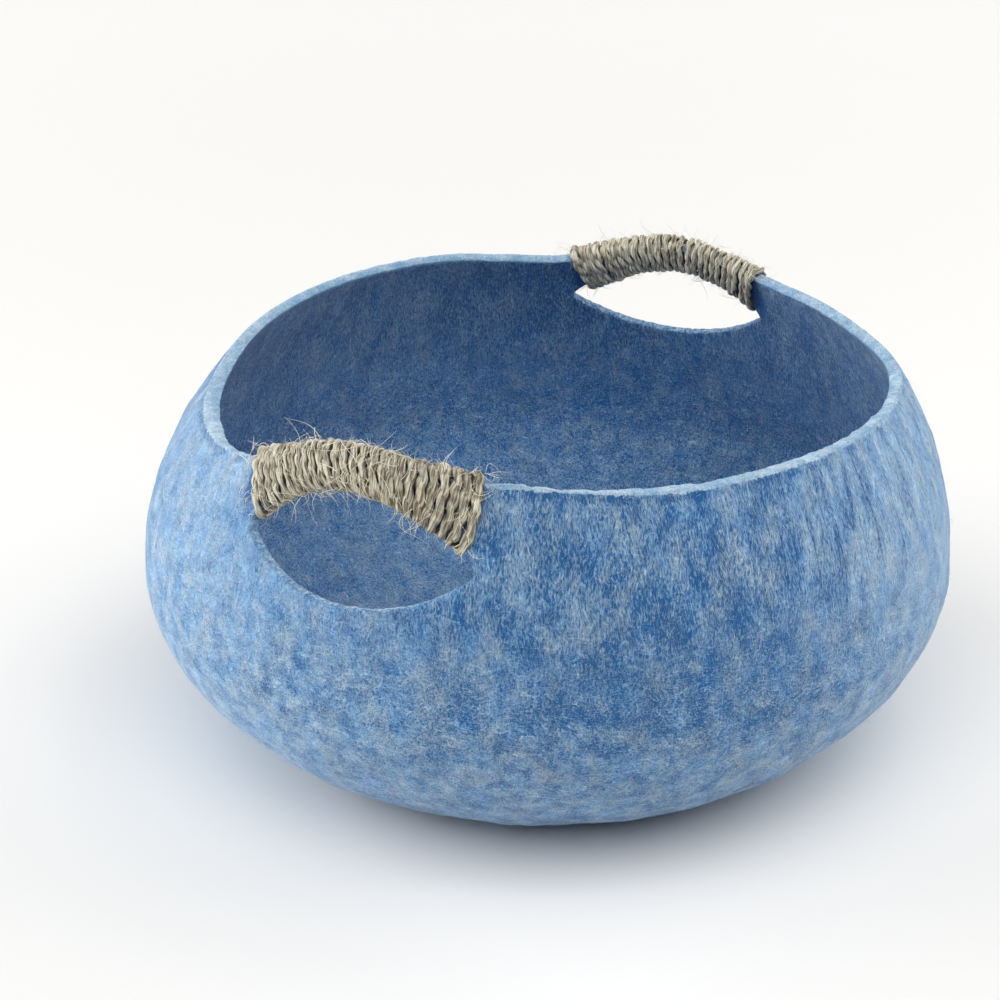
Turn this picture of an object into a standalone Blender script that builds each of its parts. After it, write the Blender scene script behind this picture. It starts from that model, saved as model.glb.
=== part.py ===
"""Open felt cat basket bed: a seamless wool felt bowl with two cord-wound hand holes.

Metres, +Z up. The origin is the middle of the flat base, on the surface that the bowl stands on.
The front hand hole faces -Y, the back one faces +Y. A bearing is an angle in degrees round the
Z axis, counter-clockwise from +X.
"""
import math

import bmesh
import bpy
import numpy as np

# Bowl
FELT = 0.0065               # thickness of the felt
CLEARANCE = 0.0004          # felt to winding
BELLY_X = 0.2215            # outer half width of the belly, left to right
BELLY_Y = 0.2240            # outer half width of the belly, front to back
BELLY_HEIGHT = 0.0995       # height of the widest line
BASE_RADIUS = 0.1140        # where the outer face leaves the floor
UNDERSIDE_POWER = 1.73      # fullness of the rounded underside: 2 is an ellipse

# Rim, before the handles arch it: millimetres at even bearings
RIM_STEP = 22.5
RIM = (
    # bearing, height, radius
    (-180.0, 205.5, 184.0),
    (-157.5, 197.0, 182.5),
    (-135.0, 195.0, 187.0),
    (-112.5, 201.0, 194.0),
    (-90.0, 211.0, 196.0),
    (-67.5, 213.5, 192.0),
    (-45.0, 208.0, 191.5),
    (-22.5, 208.0, 191.0),
    (0.0, 207.0, 190.0),
    (22.5, 206.0, 189.3),
    (45.0, 203.5, 190.0),
    (67.5, 206.5, 193.5),
    (90.0, 206.0, 197.0),
    (112.5, 204.5, 195.5),
    (135.0, 211.5, 193.0),
    (157.5, 210.5, 188.5),
)

# Handles: winding's node, bearings of the hole's middle, the winding's middle at the rim and the
# top of the arch, and height of the hole's corners
HANDLES = (
    # node, hole, winding, arch, corners
    ("handle_wrap_front", -90.1, -91.6, -94.0, 0.1745),
    ("handle_wrap_back", 94.6, 94.0, 94.5, 0.1790),
)
CUT_SWING = 0.08            # how far past level the rim's cut face tips out in front
ARCH_RISE = 0.0140          # how far a handle lifts the rim
ARCH_SPREAD = 15.5          # degrees from its middle to where the lift is down to 37 %

# Hand hole
HOLE_HALF_WIDTH = 0.0637    # along the wall
HOLE_WALL_RADIUS = 0.2065   # radius of the wall at the corners
HOLE_DROP = 0.0210          # depth of its lower edge, a circular arc below the corners
HOLE_POWER = 2.2            # roundness of its upper edge: 2 is an ellipse
STRIP = 0.0138              # felt left between the middle of that edge and the rim
STRIP_WIDENING = 0.0012     # how much wider and narrower the strip is at its two ends
HOLE_STEPS = 26             # segments of each edge
CUT_OUTSIDE = 0.018         # how far its cutter stands out of the wall
CUT_INSIDE = 0.026          # how far it reaches in from the outer face

# Winding round the strip
WIND_TOP_HALF = 19.0        # degrees either side of the handle's middle, at the rim
WIND_LOW_HALF = 16.0        # the same at the hole
WIND_TURNS = 28
CORD_COVER = 0.0040         # thickness of the winding in the valleys between turns
TURN_RELIEF = 0.0012        # how far each turn stands out of its valleys
END_COVER = 0.0020          # thickness at the rounded sides of the first and last turns
WIND_SIDES = 16             # points round the winding, a multiple of 8
SQUARE_RIM_HALF = 23.5      # degrees either side of a handle where the rim is cut square
RIM_CHANGE = 6.0            # degrees over which the cut then turns level
WIND_ROUNDNESS = 2.6        # exponent of its oval section: 2 is an ellipse
SLEEVE_RINGS = 19           # rings of its smooth inside

# Fineness of the bowl
BEARINGS = 96
WALL_ROWS = 7               # rim to belly
UNDER_ROWS = 8              # belly to base
EDGE_ROUND = 0.0012         # rounding of the cut rim
FLOOR_RING = 0.5            # share of the base radius where the flat faces have their ring
FELT_SHARP = 40.0           # degrees between faces from which an edge is shaded sharp
CORD_SHARP = 60.0

FELT_BLUE = (0.16, 0.30, 0.52)
JUTE_TAN = (0.42, 0.37, 0.28)


def around(bearing, column):
    """Rim value at a bearing: a smooth closed curve through the table's rows."""
    values = np.array([row[column] for row in RIM]) / 1000.0
    step = (np.asarray(bearing, dtype=float) - RIM[0][0]) / RIM_STEP
    index = np.floor(step).astype(int)
    f = step - index
    before, here, after, beyond = (values[(index + k) % len(RIM)] for k in (-1, 0, 1, 2))
    slope_here = 0.5 * (after - before)
    slope_after = 0.5 * (beyond - here)
    rise = after - here
    return (here + slope_here * f + (3.0 * rise - 2.0 * slope_here - slope_after) * f ** 2
            + (slope_here + slope_after - 2.0 * rise) * f ** 3)


def degrees_off(bearing, middle):
    """Signed degrees from a middle bearing, between -180 and 180."""
    return (np.asarray(bearing, dtype=float) - middle + 180.0) % 360.0 - 180.0


def rim_height(bearing):
    """Height of the cut rim, lifted over each handle."""
    height = around(bearing, 1)
    for _, _, _, top, _ in HANDLES:
        height = height + ARCH_RISE * np.exp(-(degrees_off(bearing, top) / ARCH_SPREAD) ** 2)
    return height


def belly_radius(bearing):
    """Radius of the widest line, an ellipse."""
    turn = np.radians(bearing)
    return BELLY_X * BELLY_Y / np.hypot(BELLY_Y * np.cos(turn), BELLY_X * np.sin(turn))


def wall_arc(bearing):
    """Belly radius, lean of the wall at the rim and radius of its upright curve."""
    belly = belly_radius(bearing)
    rise = rim_height(bearing) - BELLY_HEIGHT
    lean = 2.0 * np.arctan2(belly - around(bearing, 2), rise)
    return belly, lean, rise / np.sin(lean)


def place(bearing, radius, height):
    """Points from bearing, radius and height."""
    turn = np.radians(bearing)
    radius, height, turn = np.broadcast_arrays(radius, height, turn)
    return np.stack([radius * np.cos(turn), radius * np.sin(turn), height], axis=-1)


def wall_point(bearing, down, out):
    """Point a distance down the outer face from the rim, and a distance out of that face."""
    belly, lean, bend = wall_arc(bearing)
    tilt = lean - down / bend
    return place(bearing, belly - bend * (1.0 - np.cos(tilt)) + out * np.cos(tilt),
                 BELLY_HEIGHT + (bend + out) * np.sin(tilt))


def down_at_height(bearing, height):
    """Distance down the outer face from the rim to a height."""
    _, lean, bend = wall_arc(bearing)
    return bend * (lean - np.arcsin((height - BELLY_HEIGHT) / bend))


def under_point(bearing, share, out):
    """Point of the rounded underside: share 0 at the belly, 1 where it meets the floor."""
    power = 2.0 / UNDERSIDE_POWER
    c = max(math.cos(share * math.pi / 2.0), 1e-9)
    s = max(math.sin(share * math.pi / 2.0), 1e-9)
    reach = belly_radius(bearing) - BASE_RADIUS
    along_r = -reach * c ** (power - 1.0) * s
    along_z = -BELLY_HEIGHT * s ** (power - 1.0) * c
    length = np.hypot(along_r, along_z)
    return place(bearing, BASE_RADIUS + reach * c ** power - out * along_z / length,
                 BELLY_HEIGHT * (1.0 - s ** power) + out * along_r / length)


def rim_level(bearing):
    """1 where the rim is cut level, and 0 where it is cut square to the wall.

    It is about level in front, square at the back, and square under the windings, which pull it.
    """
    level = (0.5 + CUT_SWING) * (1.0 - np.sin(np.radians(bearing)))
    for _, _, winding, _, _ in HANDLES:
        past = (np.abs(degrees_off(bearing, winding)) - SQUARE_RIM_HALF) / RIM_CHANGE
        level = level * np.clip(past, 0.0, 1.0)
    return level


def bowl_rows():
    """Rings of the bowl from the middle of the inner floor, over the rim, to under the base."""
    bearing = -180.0 + 360.0 * np.arange(BEARINGS) / BEARINGS
    _, lean, bend = wall_arc(bearing)
    to_belly = bend * lean
    inner_top = -FELT * np.tan(lean) * rim_level(bearing)
    inner, outer = [], []
    for i in range(WALL_ROWS + 1):
        share = i / WALL_ROWS
        inner.append(wall_point(bearing, inner_top + (to_belly - inner_top) * share, -FELT))
        outer.append(wall_point(bearing, to_belly * share, 0.0))
    for i in range(1, UNDER_ROWS + 1):
        share = i / UNDER_ROWS
        inner.append(under_point(bearing, share, -FELT))
        outer.append(under_point(bearing, share, 0.0))
    edge_in = 1.0 - EDGE_ROUND / FELT
    inner[0] = wall_point(bearing, inner_top + EDGE_ROUND, -FELT)
    outer[0] = wall_point(bearing, EDGE_ROUND, 0.0)
    rim = [wall_point(bearing, inner_top * edge_in, -FELT * edge_in),
           wall_point(bearing, inner_top * (1.0 - edge_in), -EDGE_ROUND)]
    inner_floor = [place(bearing, FLOOR_RING * BASE_RADIUS, FELT)]
    outer_floor = [place(bearing, FLOOR_RING * BASE_RADIUS, 0.0)]
    return inner_floor + inner[::-1] + rim + outer + outer_floor


def ring_faces(first, second, count):
    """Quads between two rings of points, given by their first indices."""
    return [(first + i, first + (i + 1) % count, second + (i + 1) % count, second + i)
            for i in range(count)]


def new_object(name, points, faces, material=None):
    """Object from points and faces, with its faces turned outwards."""
    mesh = bpy.data.meshes.new(name)
    mesh.from_pydata([tuple(p) for p in points], [], faces)
    work = bmesh.new()
    work.from_mesh(mesh)
    bmesh.ops.recalc_face_normals(work, faces=work.faces)
    work.to_mesh(mesh)
    work.free()
    if material is not None:
        mesh.materials.append(material)
    thing = bpy.data.objects.new(name, mesh)
    bpy.context.scene.collection.objects.link(thing)
    return thing


def shade(thing, angle):
    """Smooth shading, sharp where faces meet at more than an angle in degrees."""
    thing.data.shade_smooth()
    thing.data.set_sharp_from_angle(angle=math.radians(angle))


def make_material(name, colour, roughness):
    """Matt fibre material."""
    material = bpy.data.materials.new(name)
    material.use_nodes = True
    shader = material.node_tree.nodes["Principled BSDF"]
    shader.inputs["Base Color"].default_value = (*colour, 1.0)
    shader.inputs["Roughness"].default_value = roughness
    shader.inputs["Metallic"].default_value = 0.0
    return material


def make_bowl(material):
    """The whole bowl as one closed skin, still without its hand holes."""
    rows = bowl_rows()
    points = np.concatenate([np.array([[0.0, 0.0, FELT]])] + rows + [np.zeros((1, 3))])
    last = len(points) - 1
    faces = [(0, 1 + (i + 1) % BEARINGS, 1 + i) for i in range(BEARINGS)]
    for k in range(len(rows) - 1):
        faces += ring_faces(1 + k * BEARINGS, 1 + (k + 1) * BEARINGS, BEARINGS)
    tail = 1 + (len(rows) - 1) * BEARINGS
    faces += [(last, tail + i, tail + (i + 1) % BEARINGS) for i in range(BEARINGS)]
    return new_object("felt_shell", points, faces, material)


def low_edge(across, hole, corners):
    """Bearing and distance down the wall of a hole's lower edge, a circular arc."""
    radius = (HOLE_HALF_WIDTH ** 2 + HOLE_DROP ** 2) / (2.0 * HOLE_DROP)
    drop = np.sqrt(radius ** 2 - across ** 2) - (radius - HOLE_DROP)
    bearing = hole + np.degrees(across / HOLE_WALL_RADIUS)
    return bearing, down_at_height(bearing, corners - drop)


def top_edge(across, hole, corners):
    """Bearing and distance down the wall of a hole's upper edge.

    It rises as a superellipse from the corners and leaves the strip of felt under the rim.
    """
    bearing = hole + np.degrees(across / HOLE_WALL_RADIUS)
    reach = np.clip(np.abs(across) / HOLE_HALF_WIDTH, 0.0, 1.0)
    rise = (1.0 - reach ** HOLE_POWER) ** (1.0 / HOLE_POWER)
    chord = down_at_height(bearing, corners)
    strip = STRIP + STRIP_WIDENING * across / HOLE_HALF_WIDTH
    return bearing, chord - (chord - strip) * rise


def make_hole_cutter(name, hole, corners):
    """Prism through the wall with the outline of a hand hole."""
    sweep = -HOLE_HALF_WIDTH * np.cos(np.linspace(0.0, math.pi, HOLE_STEPS + 1))
    low_bearing, low_down = low_edge(sweep, hole, corners)
    top_bearing, top_down = top_edge(sweep[::-1][1:-1], hole, corners)
    bearing = np.concatenate([low_bearing, top_bearing])
    down = np.concatenate([low_down, top_down])
    count = len(bearing)
    points = np.concatenate([wall_point(bearing, down, CUT_OUTSIDE),
                             wall_point(bearing, down, -CUT_INSIDE)])
    faces = ring_faces(0, count, count)
    faces += [tuple(range(count)), tuple(range(count, 2 * count))]
    cutter = new_object(name, points, faces)
    cutter.hide_render = True
    cutter.display_type = "WIRE"
    return cutter


def cut_with(thing, cutter):
    """Boolean difference."""
    cut = thing.modifiers.new("cut_" + cutter.name, "BOOLEAN")
    cut.operation = "DIFFERENCE"
    cut.solver = "EXACT"
    cut.object = cutter


def spoke_ends(handle, share):
    """Ends of the line across the strip at a share of the winding's length.

    They are the bearing at the rim, and the bearing and distance down the wall at the hole.
    """
    _, hole, winding, _, corners = handle
    swing = 2.0 * share - 1.0
    across = np.radians(WIND_LOW_HALF * swing) * HOLE_WALL_RADIUS
    low_bearing, low_down = top_edge(across, hole, corners)
    return winding + WIND_TOP_HALF * swing, low_bearing, low_down


def unit_section(power):
    """Points round a superellipse of half axes 1; with no power, round a square."""
    turn = 2.0 * math.pi * np.arange(WIND_SIDES) / WIND_SIDES
    across, along = np.cos(turn), np.sin(turn)
    if power is None:
        side = np.maximum(np.abs(across), np.abs(along))
        return across / side, along / side
    return (np.sign(across) * np.abs(across) ** (2.0 / power),
            np.sign(along) * np.abs(along) ** (2.0 / power))


def section_ring(handle, share, cover, power):
    """Ring round the strip of felt, a cover's thickness outside it on every side."""
    top, low_bearing, low_down = spoke_ends(handle, share)
    across, along = unit_section(power)
    down = 0.5 * low_down + (0.5 * low_down + cover) * along
    bearing = top + (low_bearing - top) * down / low_down
    return wall_point(bearing, down, -0.5 * FELT + (0.5 * FELT + cover) * across)


def make_winding(handle, material):
    """Ridged sleeve of closely wound cord, hollow for the strip of felt inside it."""
    outer = []
    for i in range(2 * WIND_TURNS + 1):
        share = i / (2.0 * WIND_TURNS)
        cover = CLEARANCE + CORD_COVER + (TURN_RELIEF if i % 2 else 0.0)
        if i in (0, 2 * WIND_TURNS):
            cover = CLEARANCE + END_COVER
        outer.append(section_ring(handle, share, cover, WIND_ROUNDNESS))
    inner = []
    for i in range(SLEEVE_RINGS):
        share = i / (SLEEVE_RINGS - 1.0)
        inner.append(section_ring(handle, share, CLEARANCE, None))
    rings = outer + inner[::-1]
    faces = []
    for k in range(len(rings)):
        faces += ring_faces(k * WIND_SIDES, (k + 1) % len(rings) * WIND_SIDES, WIND_SIDES)
    return new_object(handle[0], np.concatenate(rings), faces, material)


def build():
    """Clear the scene and make every sub-part."""
    for thing in list(bpy.data.objects):
        bpy.data.objects.remove(thing, do_unlink=True)
    felt = make_material("blue_wool_felt", FELT_BLUE, 0.95)
    jute = make_material("jute_cord", JUTE_TAN, 0.85)
    bowl = make_bowl(felt)
    for handle in HANDLES:
        name, hole, _, _, corners = handle
        cut_with(bowl, make_hole_cutter("hole_" + name, hole, corners))
        shade(make_winding(handle, jute), CORD_SHARP)
    shade(bowl, FELT_SHARP)


build()
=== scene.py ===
"""Open felt cat basket bed: thick mottled wool felt, and twisted jute cord wound round two handles.

Metres, +Z up, origin in the middle of the flat base. The front hand hole faces -Y, the back one +Y.
A bearing is an angle in degrees round the Z axis, counter-clockwise from +X. "down" is a distance
down the outer face of the wall from the rim, and "out" a distance out of that face.
"""
import math

import bpy
import numpy as np
from mathutils import Matrix, Vector


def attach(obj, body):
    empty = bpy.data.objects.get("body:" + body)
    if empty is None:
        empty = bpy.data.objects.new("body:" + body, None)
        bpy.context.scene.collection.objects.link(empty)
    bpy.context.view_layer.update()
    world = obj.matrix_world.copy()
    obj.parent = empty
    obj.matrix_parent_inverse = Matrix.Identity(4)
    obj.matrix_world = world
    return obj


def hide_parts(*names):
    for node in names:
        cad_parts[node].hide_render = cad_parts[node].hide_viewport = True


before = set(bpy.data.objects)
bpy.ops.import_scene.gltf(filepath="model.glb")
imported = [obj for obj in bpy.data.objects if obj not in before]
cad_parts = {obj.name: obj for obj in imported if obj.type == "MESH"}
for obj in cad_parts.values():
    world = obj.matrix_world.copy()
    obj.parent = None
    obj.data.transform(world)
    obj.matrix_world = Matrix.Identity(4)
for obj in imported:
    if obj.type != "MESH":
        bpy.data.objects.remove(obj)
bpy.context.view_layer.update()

# Bowl
FELT = 0.0065               # thickness of the felt
CLEARANCE = 0.0004          # felt to winding
BELLY_X = 0.2215            # outer half width of the belly, left to right
BELLY_Y = 0.2240            # outer half width of the belly, front to back
BELLY_HEIGHT = 0.0995       # height of the widest line
BASE_RADIUS = 0.1140        # where the outer face leaves the floor
UNDERSIDE_POWER = 1.73      # fullness of the rounded underside: 2 is an ellipse
UNDERSIDE = 0.157           # rough length of the underside, belly to floor, for the fibres' places
GRAIN_RADIUS = 0.2          # rough radius of the wall, for the same
FLOOR_DOWN = 0.3            # rough distance down to the floor, for the same
CUT_BLEND = 0.0022          # distance down over which the look of a cut face fades out

# Rim, before the handles arch it: millimetres, every RIM_STEP degrees from RIM_START on
RIM_START, RIM_STEP = -180.0, 22.5
RIM_HEIGHT = (205.5, 197.0, 195.0, 201.0, 211.0, 213.5, 208.0, 208.0,
              207.0, 206.0, 203.5, 206.5, 206.0, 204.5, 211.5, 210.5)
RIM_RADIUS = (184.0, 182.5, 187.0, 194.0, 196.0, 192.0, 191.5, 191.0,
              190.0, 189.3, 190.0, 193.5, 197.0, 195.5, 193.0, 188.5)

# Handles: the piece's part, bearings of the hole's middle, the winding's middle at the rim and the
# top of the arch, and height of the hole's corners
HANDLES = (
    # part, hole, winding, arch, corners
    ("handle_wrap_front", -90.1, -91.6, -94.0, 0.1745),
    ("handle_wrap_back", 94.6, 94.0, 94.5, 0.1790),
)
CUT_SWING = 0.08            # how far past level the rim's cut face tips out in front
ARCH_RISE = 0.0140          # how far a handle lifts the rim
ARCH_SPREAD = 15.5          # degrees from its middle to where the lift is down to 37 %
SQUARE_RIM_HALF = 23.5      # degrees either side of a handle where the rim is cut square
RIM_CHANGE = 26.0           # degrees over which the cut then turns level

# Hand hole
HOLE_HALF_WIDTH = 0.0637    # along the wall
HOLE_WALL_RADIUS = 0.2065   # radius of the wall at the corners
HOLE_DROP = 0.0210          # depth of its lower edge, a circular arc below the corners
HOLE_POWER = 2.2            # roundness of its upper edge: 2 is an ellipse
LEFT_CORNER = 0.0034        # how far its left corner is drawn in
STRIP = 0.0138              # felt left between the middle of that edge and the rim
STRIP_WIDENING = 0.0012     # how much wider and narrower the strip is at its two ends
WIND_TOP_HALF = 19.0        # winding: degrees either side of the handle's middle, at the rim
WIND_LOW_HALF = 16.0        # the same at the hole
WIND_ROUNDNESS = 2.6        # exponent of the winding's oval section: 2 is an ellipse

# Unevenness of the felt: height, random seed, shortest and longest wave, number of waves
OUTER_WAVES = ((0.00030, 3, 0.030, 0.110, 22), (0.00010, 5, 0.010, 0.026, 26))
INNER_WAVES = ((0.00028, 23, 0.030, 0.100, 20), (0.00008, 25, 0.010, 0.026, 20))
CUT_WAVES = ((0.00024, 31, 0.012, 0.050, 14), (0.00013, 33, 0.004, 0.010, 40))
CROWN_WAVES = ((0.00024, 37, 0.004, 0.020, 30),)
CROWN = 0.00035             # how far the middle of the cut rim stands up
NICK = (-66.5, 2.6, 0.0011)         # a low place in the rim: bearing, half width, depth
CREASES = (
    # bearings from and to, number, depth from and to, half width in degrees, reach from and to
    (-44.0, 22.0, 30, 0.00035, 0.00095, 0.52, 0.035, 0.085),
    (-72.0, -44.0, 9, 0.00010, 0.00032, 0.60, 0.030, 0.070),
    (26.0, 286.0, 64, 0.00006, 0.00034, 1.15, 0.025, 0.080),
    (-72.6, -71.9, 2, 0.00060, 0.00080, 0.40, 0.020, 0.024),
)

# Paleness of the wool, with painted light and shade
# Bands and spots: partly the wool's own paleness and partly painted light. The sides lit by the
# left and right lamps are painted paler, and the front that faces the camera darker.
WOOL_AND_LIGHT_BANDS = (
    # bearing, half width, amount, share of it that is lost towards the bottom
    (-128.0, 32.0, 0.25, 0.0), (-50.0, 24.0, -0.13, 1.0), (10.0, 26.0, 0.28, 0.3),
    (80.0, 25.0, -0.03, 0.0), (150.0, 25.0, 0.06, 0.0),
)
WOOL_AND_LIGHT_SPOTS = (
    # bearing, half width, distance down, half reach, amount
    (-50.0, 24.0, 0.015, 0.025, 0.04), (-58.0, 16.0, 0.075, 0.030, -0.06),
    (-20.0, 9.0, 0.030, 0.022, 0.08), (-36.0, 9.0, 0.070, 0.030, -0.06),
)

HOLE_SPOTS = (
    # the same, with the bearing counted from the hole's: painted shade in its left corner, and a
    # darker spot beside its right end
    (-17.6, 1.1, 0.029, 0.0035, -0.45), (19.6, 2.2, 0.016, 0.016, -0.16),
)
# The lower wall is painted paler, as painted light thrown up from the floor
LOW_DOWN = (0.105, 0.150)   # distance down over which the lower wall begins
# Under each winding the felt is darkened with painted shade, so the gaps between the turns look
# shadowed
BOUND_OFF = (18.4, 17.4)    # degrees from a winding's middle over which the felt under it begins
BOUND_DOWN = (0.030, 0.016)         # the same as a distance down
PAINTED_SHADE_UNDER_CORD = 0.8            # how much darker that felt is

# Random seeds
SEED_CREASES = 11
SEED_HOLE_FACE = 41
SEED_FUZZ = 61
SEED_CORD, SEED_LOOSE = 100, 130    # of the front handle
SEED_STEP = 50                      # from one handle to the next

# Fineness of the felt
FINE_FROM, FINE_TO = -52.0, 28.0    # bearings between which the wall is pleated
FINE_COLUMNS, OTHER_COLUMNS = 286, 430
WALL_ROWS, UNDER_ROWS, INNER_UNDER_ROWS = 44, 24, 10
FLOOR_RINGS = (0.33, 0.66)  # rings of the flat faces, as shares of the base's radius
EDGE_STEPS = (0.33, 0.67, 1.0)      # rings of each rounded edge of the rim
EDGE_ROUND = 0.0013         # rounding of cut edges
HOLE_WALL_RINGS = 7         # rings across the cut face of a hand hole
HOLE_ROUGH = 0.00022        # unevenness of that face's edges
EDGE_SAMPLES = 240          # samples along the lower edge of a hole, and as many along its upper

# Cord
TURNS = 27                  # turns of cord round each strip
PLY_RADIUS = 0.00142        # each of the cord's two plies
PLY_OFFSET = 0.00130        # from the middle of the cord to the middle of a ply
LAY = 0.0170                # length of cord in which a ply goes once round
TAIL = 0.35                 # turns at each end that are tucked under the others
BOWED = (1.0, 0.3)          # how much the turns bow and loosen at the front and at the back
PLY_STEP = 0.0011           # length of one ring of a ply's mesh
PLY_SIDES = 14

# Loose fibres
FIBRE_SIDES = 3             # sides of each loose fibre
FUZZ_TRIED = 6000           # places tried for a short wool fibre, less those in the holes
FUZZ_DOWN = (0.001, 0.29)   # distance down, from and to
FUZZ_LENGTH = (0.0015, 0.0045)      # from and to


def around(bearing, table):
    """Rim value at a bearing: a smooth closed curve, cubic between the table's values."""
    values = np.array(table) / 1000.0
    step = (np.asarray(bearing, dtype=float) - RIM_START) / RIM_STEP
    index = np.floor(step).astype(int)
    f = step - index
    before, here, after, beyond = (values[(index + k) % len(table)] for k in (-1, 0, 1, 2))
    slope_here = 0.5 * (after - before)
    slope_after = 0.5 * (beyond - here)
    rise = after - here
    return (here + slope_here * f + (3.0 * rise - 2.0 * slope_here - slope_after) * f ** 2
            + (slope_here + slope_after - 2.0 * rise) * f ** 3)


def degrees_off(bearing, middle):
    """Signed degrees from a middle bearing, between -180 and 180."""
    return (np.asarray(bearing, dtype=float) - middle + 180.0) % 360.0 - 180.0


def bell(off, half):
    """1 in the middle, falling to 37 % at half on either side: exp(-(off / half) ** 2)."""
    return np.exp(-(off / half) ** 2)


def rim_height(bearing):
    """Height of the cut rim: the table's curve plus a bell-shaped lift over each handle."""
    height = around(bearing, RIM_HEIGHT)
    for _, _, _, top, _ in HANDLES:
        height = height + ARCH_RISE * bell(degrees_off(bearing, top), ARCH_SPREAD)
    return height


def belly_radius(bearing):
    """Radius of the widest line, an ellipse."""
    turn = np.radians(bearing)
    return BELLY_X * BELLY_Y / np.hypot(BELLY_Y * np.cos(turn), BELLY_X * np.sin(turn))


def wall_arc(bearing):
    """Belly radius, lean of the wall at the rim and radius of its upright circular arc."""
    belly = belly_radius(bearing)
    rise = rim_height(bearing) - BELLY_HEIGHT
    lean = 2.0 * np.arctan2(belly - around(bearing, RIM_RADIUS), rise)
    return belly, lean, rise / np.sin(lean)


def stacked(*parts):
    """Numbers and arrays side by side along a new last axis."""
    return np.stack(np.broadcast_arrays(*parts), -1)


def place(bearing, radius, height):
    """Points from bearing, radius and height."""
    turn = np.radians(bearing)
    return stacked(radius * np.cos(turn), radius * np.sin(turn), height)


def wall_point(bearing, down, out):
    """Point a distance down the wall's circular arc from the rim, and a distance out of it."""
    belly, lean, bend = wall_arc(bearing)
    tilt = lean - down / bend
    return place(bearing, belly - bend * (1.0 - np.cos(tilt)) + out * np.cos(tilt),
                 BELLY_HEIGHT + (bend + out) * np.sin(tilt))


def down_at_height(bearing, height):
    """Distance down the outer face from the rim to a height."""
    _, lean, bend = wall_arc(bearing)
    return bend * (lean - np.arcsin((height - BELLY_HEIGHT) / bend))


def under_point(bearing, share, out):
    """Point of the underside, a superellipse quarter: share 0 at the belly, 1 at the floor."""
    power = 2.0 / UNDERSIDE_POWER
    c = np.maximum(np.cos(share * math.pi / 2.0), 1e-9)
    s = np.maximum(np.sin(share * math.pi / 2.0), 1e-9)
    reach = belly_radius(bearing) - BASE_RADIUS
    along_r = -reach * c ** (power - 1.0) * s
    along_z = -BELLY_HEIGHT * s ** (power - 1.0) * c
    length = np.hypot(along_r, along_z)
    return place(bearing, BASE_RADIUS + reach * c ** power - out * along_z / length,
                 BELLY_HEIGHT * (1.0 - s ** power) + out * along_r / length)


def drawn_in(across):
    """Place across the plain outline of a hole that a place across the drawn-in one comes from."""
    return across * np.where(across < 0.0, HOLE_HALF_WIDTH / (HOLE_HALF_WIDTH - LEFT_CORNER), 1.0)


def rim_level(bearing):
    """1 where the rim is cut level, 0 where it is cut square to the wall."""
    level = (0.5 + CUT_SWING) * (1.0 - np.sin(np.radians(bearing)))
    for _, _, winding, _, _ in HANDLES:
        past = (np.abs(degrees_off(bearing, winding)) - SQUARE_RIM_HALF) / RIM_CHANGE
        level = level * smooth(past, -0.15, 1.0)
    return level


def bearing_of(across, hole):
    """Bearing of a place across a hole: the hole's, and the place over the wall's radius."""
    return hole + np.degrees(across / HOLE_WALL_RADIUS)


def across_of(bearing, hole):
    """Place across a hole of a bearing: its angle from the hole's, times the wall's radius."""
    return np.radians(degrees_off(bearing, hole)) * HOLE_WALL_RADIUS


def low_edge(across, hole, corners):
    """Distance down to a hole's lower edge, a circular arc below the corners."""
    radius = (HOLE_HALF_WIDTH ** 2 + HOLE_DROP ** 2) / (2.0 * HOLE_DROP)
    drop = np.sqrt(radius ** 2 - across ** 2) - (radius - HOLE_DROP)
    return down_at_height(bearing_of(across, hole), corners - drop)


def top_edge(across, hole, corners):
    """Distance down to a hole's upper edge, which rises as a superellipse from the corners."""
    reach = np.clip(np.abs(across) / HOLE_HALF_WIDTH, 0.0, 1.0)
    rise = (1.0 - reach ** HOLE_POWER) ** (1.0 / HOLE_POWER)
    chord = down_at_height(bearing_of(across, hole), corners)
    strip = STRIP + STRIP_WIDENING * across / HOLE_HALF_WIDTH
    return chord - (chord - strip) * rise


def smooth(value, low, high):
    """0 below low, 1 above high, and an S-shaped cubic between."""
    t = np.clip((value - low) / (high - low), 0.0, 1.0)
    return t * t * (3.0 - 2.0 * t)


def waves(bearing, down, seed, shortest, longest, count):
    """Soft unevenness of about 1: a sum of random waves that close round the bowl."""
    rng = np.random.default_rng(seed)
    total = np.zeros(np.broadcast(bearing, down).shape)
    for _ in range(count):
        length = math.exp(rng.uniform(math.log(shortest), math.log(longest)))
        course = rng.uniform(0.0, math.pi)
        turns = round(2.0 * math.pi * GRAIN_RADIUS * math.cos(course) / length)
        phase = rng.uniform(0.0, 2.0 * math.pi)
        total += np.cos(np.radians(bearing) * turns
                        + down * 2.0 * math.pi * math.sin(course) / length + phase)
    return total * math.sqrt(2.0 / count)


def grooves(bearing, down):
    """Depth of the upright creases under the rim: bell-shaped valleys that fade at both ends."""
    rng = np.random.default_rng(SEED_CREASES)
    total = np.zeros(np.broadcast(bearing, down).shape)
    for start, stop, number, least, most, half, near, far in CREASES:
        even = np.linspace(start, stop, number)
        gap = (stop - start) / (number - 1.0)
        for middle in even + rng.uniform(-0.32, 0.32, number) * gap:
            depth = rng.uniform(least, most)
            head = rng.uniform(0.004, 0.018)
            foot = head + rng.uniform(near, far)
            slant = rng.uniform(-9.0, 9.0)
            off = degrees_off(bearing, middle) + slant * (down - head)
            fade = (smooth(down, head - 0.004, head + 0.012)
                    * (1.0 - smooth(down, 0.45 * foot, foot)))
            total += depth * fade * bell(off, half * rng.uniform(0.75, 1.25))
    return total


def uneven(bearing, down, *layers):
    """Sum of layers of waves, each a height with the rest of what waves takes."""
    return sum(height * waves(bearing, down, *rest) for height, *rest in layers)


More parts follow.
